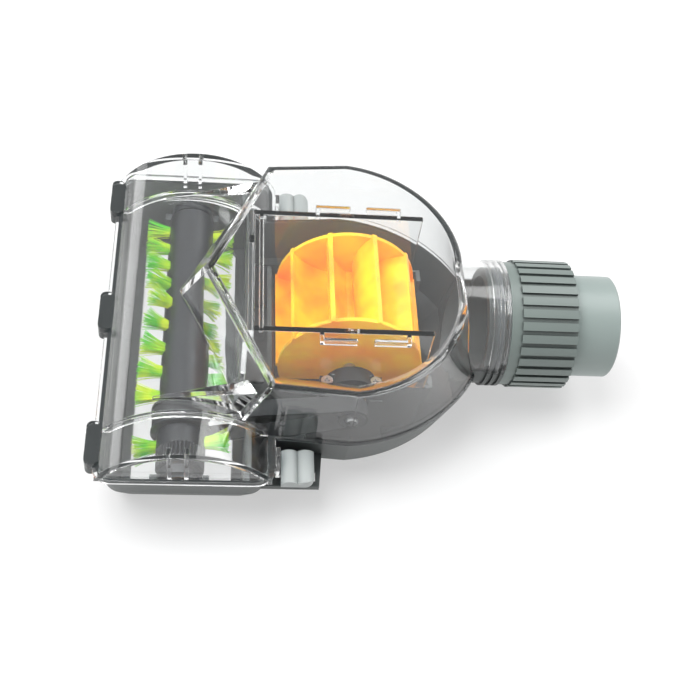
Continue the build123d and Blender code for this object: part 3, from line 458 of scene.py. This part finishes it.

# Connector: a grey moulded ABS tube that swivels in the neck, with a grooved grip collar.
# The collar is a darker, greener grey with painted shade in its grooves. The inner end of
# the tube, which shows through the clear neck, is painted dark as shade.
# Painted shade: the dark fourth colour is laid in the hollows within 14 mm.
tube_abs = moulded(
    "satin_tube_abs", "#8f9b98", "#86928f", "#2e3130", 0.36, 0.7, 0.012, shade_reach=14
)
tree = tube_abs.node_tree
where = add_node(tree, "ShaderNodeTexCoord")
along_tube = add_node(tree, "ShaderNodeSeparateXYZ", None, {0: where.outputs["Object"]})
# Painted shade: the tube is painted dark at its inner end, fading out between X 50 and 62 mm.
shade_full_x, shade_end_x = 50, 62
inner_end_shade = add_node(
    tree, "ShaderNodeMapRange",
    {"From Min": shade_full_x * MM, "From Max": shade_end_x * MM, "To Min": 0.9, "To Max": 0.0},
    {"Value": along_tube.outputs["X"]},
)
shader = next(n for n in tree.nodes if n.type == "BSDF_PRINCIPLED")
unshaded_colour = shader.inputs["Base Color"].links[0].from_socket
shaded_end_colour = add_node(
    tree, "ShaderNodeMix",
    {"data_type": "RGBA", 7: linear_colour("#1f2120")},
    {0: inner_end_shade.outputs[0], 6: unshaded_colour},
)
tree.links.new(shaded_end_colour.outputs[2], shader.inputs["Base Color"])
dress(tube_abs, "connector_tube")
# Painted shade: the dark fourth colour lies in the collar's grooves.
collar_abs = moulded("satin_collar_abs", "#76817d", "#6c7673", "#2e3433", 0.4, 0.6, 0.018)
dress(collar_abs, "swivel_collar")

# Clear cover: polished transparent styrene, injection moulded and clipped over the base.
# Its rounded edges carry thin bright lines, and it is very slightly wavy and hazed from
# handling, which breaks its reflections up.
clear, tree = new_material("polished_clear_styrene")
where = add_node(tree, "ShaderNodeTexCoord")
flow = add_node(
    tree, "ShaderNodeTexNoise",
    {"Scale": 1 / (16 * MM), "Detail": 2.0},
    {"Vector": where.outputs["Object"]},
)
rounded = add_node(tree, "ShaderNodeBevel", {"samples": 3, "Radius": 0.45 * MM})
wave = add_node(
    tree, "ShaderNodeBump",
    {"Strength": 0.25, "Distance": 0.12 * MM},
    {"Height": flow.outputs["Fac"], "Normal": rounded.outputs["Normal"]},
)
haze = add_node(
    tree, "ShaderNodeMapRange",
    {"To Min": 0.012, "To Max": 0.035},
    {"Value": flow.outputs["Fac"]},
)
shader = add_node(
    tree, "ShaderNodeBsdfPrincipled",
    {
        "Base Color": linear_colour("#fcfdfd"),
        "IOR": 1.53,
        "Transmission Weight": 1.0,
    },
    {"Roughness": haze.outputs[0], "Normal": wave.outputs["Normal"]},
)
path = add_node(tree, "ShaderNodeLightPath")
through = add_node(tree, "ShaderNodeBsdfTransparent", {"Color": linear_colour("#c4c9cb")})
either = add_node(
    tree, "ShaderNodeMixShader", None,
    {0: path.outputs["Is Shadow Ray"], 1: shader.outputs[0], 2: through.outputs[0]},
)
add_node(tree, "ShaderNodeOutputMaterial", None, {"Surface": either.outputs[0]})
dress(clear, "clear_cover")

# Side latches: light grey ABS tabs that slide back to free the cover.
# They share the finish of the tube, a little paler and smoother from handling.
# Painted shade: the fourth colour darkens the hollows.
latch_abs = moulded("pale_latch_abs", "#a6abaa", "#9ca1a0", "#6d7372", 0.3, 0.6, 0.01)
dress(latch_abs, "latch_far", "latch_near")

# Floor: a white sweep of paper, bright to the camera and in reflections.
# Near the brush it is still half lit paper, so it keeps the soft shadow.
floor_mesh = bmesh.new()
bmesh.ops.create_grid(floor_mesh, x_segments=4, y_segments=4, size=3.0)
floor_data = bpy.data.meshes.new("paper_floor")
floor_mesh.to_mesh(floor_data)
floor_mesh.free()
floor = bpy.data.objects.new("paper_floor", floor_data)
bpy.context.scene.collection.objects.link(floor)
paper, tree = new_material("white_paper_sweep")
matt = add_node(
    tree, "ShaderNodeBsdfPrincipled",
    {"Base Color": linear_colour("#f4f4f4"), "Roughness": 0.9},
)
where = add_node(tree, "ShaderNodeTexCoord")
distance = add_node(
    tree, "ShaderNodeVectorMath", {"operation": "LENGTH"},
    {0: where.outputs["Object"]},
)
away = add_node(
    tree, "ShaderNodeMapRange",
    {"From Min": 0.2, "From Max": 0.7, "To Min": 0.5, "To Max": 1.0},
    {"Value": distance.outputs["Value"]},
)
path = add_node(tree, "ShaderNodeLightPath")
seen = add_node(
    tree, "ShaderNodeMath", {"operation": "MAXIMUM"},
    {0: path.outputs["Is Camera Ray"], 1: path.outputs["Is Glossy Ray"]},
)
near_share = add_node(
    tree, "ShaderNodeMath", {"operation": "MULTIPLY"},
    {0: seen.outputs[0], 1: away.outputs[0]},
)
share = add_node(
    tree, "ShaderNodeMath",
    {"operation": "MULTIPLY_ADD", 1: 0.15},
    {0: path.outputs["Is Transmission Ray"], 2: near_share.outputs[0]},
)
glow = add_node(tree, "ShaderNodeEmission", {"Color": (1, 1, 1, 1), "Strength": 1.0})
mixed = add_node(
    tree, "ShaderNodeMixShader", None,
    {0: share.outputs[0], 1: matt.outputs[0], 2: glow.outputs[0]},
)
add_node(tree, "ShaderNodeOutputMaterial", None, {"Surface": mixed.outputs[0]})
floor_data.materials.append(paper)

# Light: a soft box overhead, a fill, and a low one that lies as a pale band along the front
# of the head. The even room is white to the camera, in reflections and through the cover.
world = bpy.data.worlds.new("white_room")
bpy.context.scene.world = world
world.use_nodes = True
tree = world.node_tree
tree.nodes.clear()
path = add_node(tree, "ShaderNodeLightPath")
seen = add_node(
    tree, "ShaderNodeMath", {"operation": "MAXIMUM"},
    {0: path.outputs["Is Camera Ray"], 1: path.outputs["Is Glossy Ray"]},
)
seen_all = add_node(
    tree, "ShaderNodeMath", {"operation": "MAXIMUM"},
    {0: seen.outputs[0], 1: path.outputs["Is Transmission Ray"]},
)
room = add_node(tree, "ShaderNodeBackground", {"Color": (1, 1, 1, 1), "Strength": 0.32})
white = add_node(tree, "ShaderNodeBackground", {"Color": (1, 1, 1, 1), "Strength": 1.0})
mixed = add_node(
    tree, "ShaderNodeMixShader", None,
    {0: seen_all.outputs[0], 1: room.outputs[0], 2: white.outputs[0]},
)
add_node(tree, "ShaderNodeOutputWorld", None, {"Surface": mixed.outputs[0]})

for name, place, size, power in (
    ("key_softbox", (-0.45, 0.05, 1.1), (0.8, 0.8), 15.0),
    ("band_softbox", (-0.85, 0.66, 0.14), (0.8, 0.22), 1.2),
    ("fill_softbox", (0.6, 0.4, 1.0), (0.8, 0.8), 7.0),
):
    lamp = bpy.data.lights.new(name, "AREA")
    lamp.shape, lamp.energy = "RECTANGLE", power
    lamp.size, lamp.size_y = size
    lamp_object = bpy.data.objects.new(name, lamp)
    lamp_object.location = place
    lamp_object.rotation_euler = (-Vector(place)).to_track_quat("-Z", "Y").to_euler()
    bpy.context.scene.collection.objects.link(lamp_object)

# Light passes through many clear walls here, so paths may be longer than usual.
paths = bpy.context.scene.cycles
paths.max_bounces = 24
paths.glossy_bounces = 12
paths.transmission_bounces = 24
paths.transparent_max_bounces = 24

# Camera: looks down on the brush from the near side of the head.
# Its place, turn and roll were fitted to the outline of the real one in the photograph.
yaw, drop, roll = math.radians(10.96), math.radians(53.58), math.radians(10.63)
ahead = Vector((math.sin(yaw) * math.cos(drop), math.cos(yaw) * math.cos(drop), -math.sin(drop)))
level = ahead.cross(Vector((0, 0, 1))).normalized()
above = level.cross(ahead)
right = level * math.cos(roll) + above * math.sin(roll)
top = above * math.cos(roll) - level * math.sin(roll)
lens = bpy.data.cameras.new("photo_camera")
lens.lens, lens.sensor_width = 59.52, 36.0
lens.clip_start, lens.clip_end = 0.01, 20.0
camera = bpy.data.objects.new("photo_camera", lens)
camera.matrix_world = Matrix.Translation((-0.04706, -0.23937, 0.34236)) @ Matrix(
    (right, top, -ahead)
).transposed().to_4x4()
bpy.context.scene.collection.objects.link(camera)
bpy.context.scene.camera = camera
bpy.context.scene.view_settings.view_transform = "Standard"
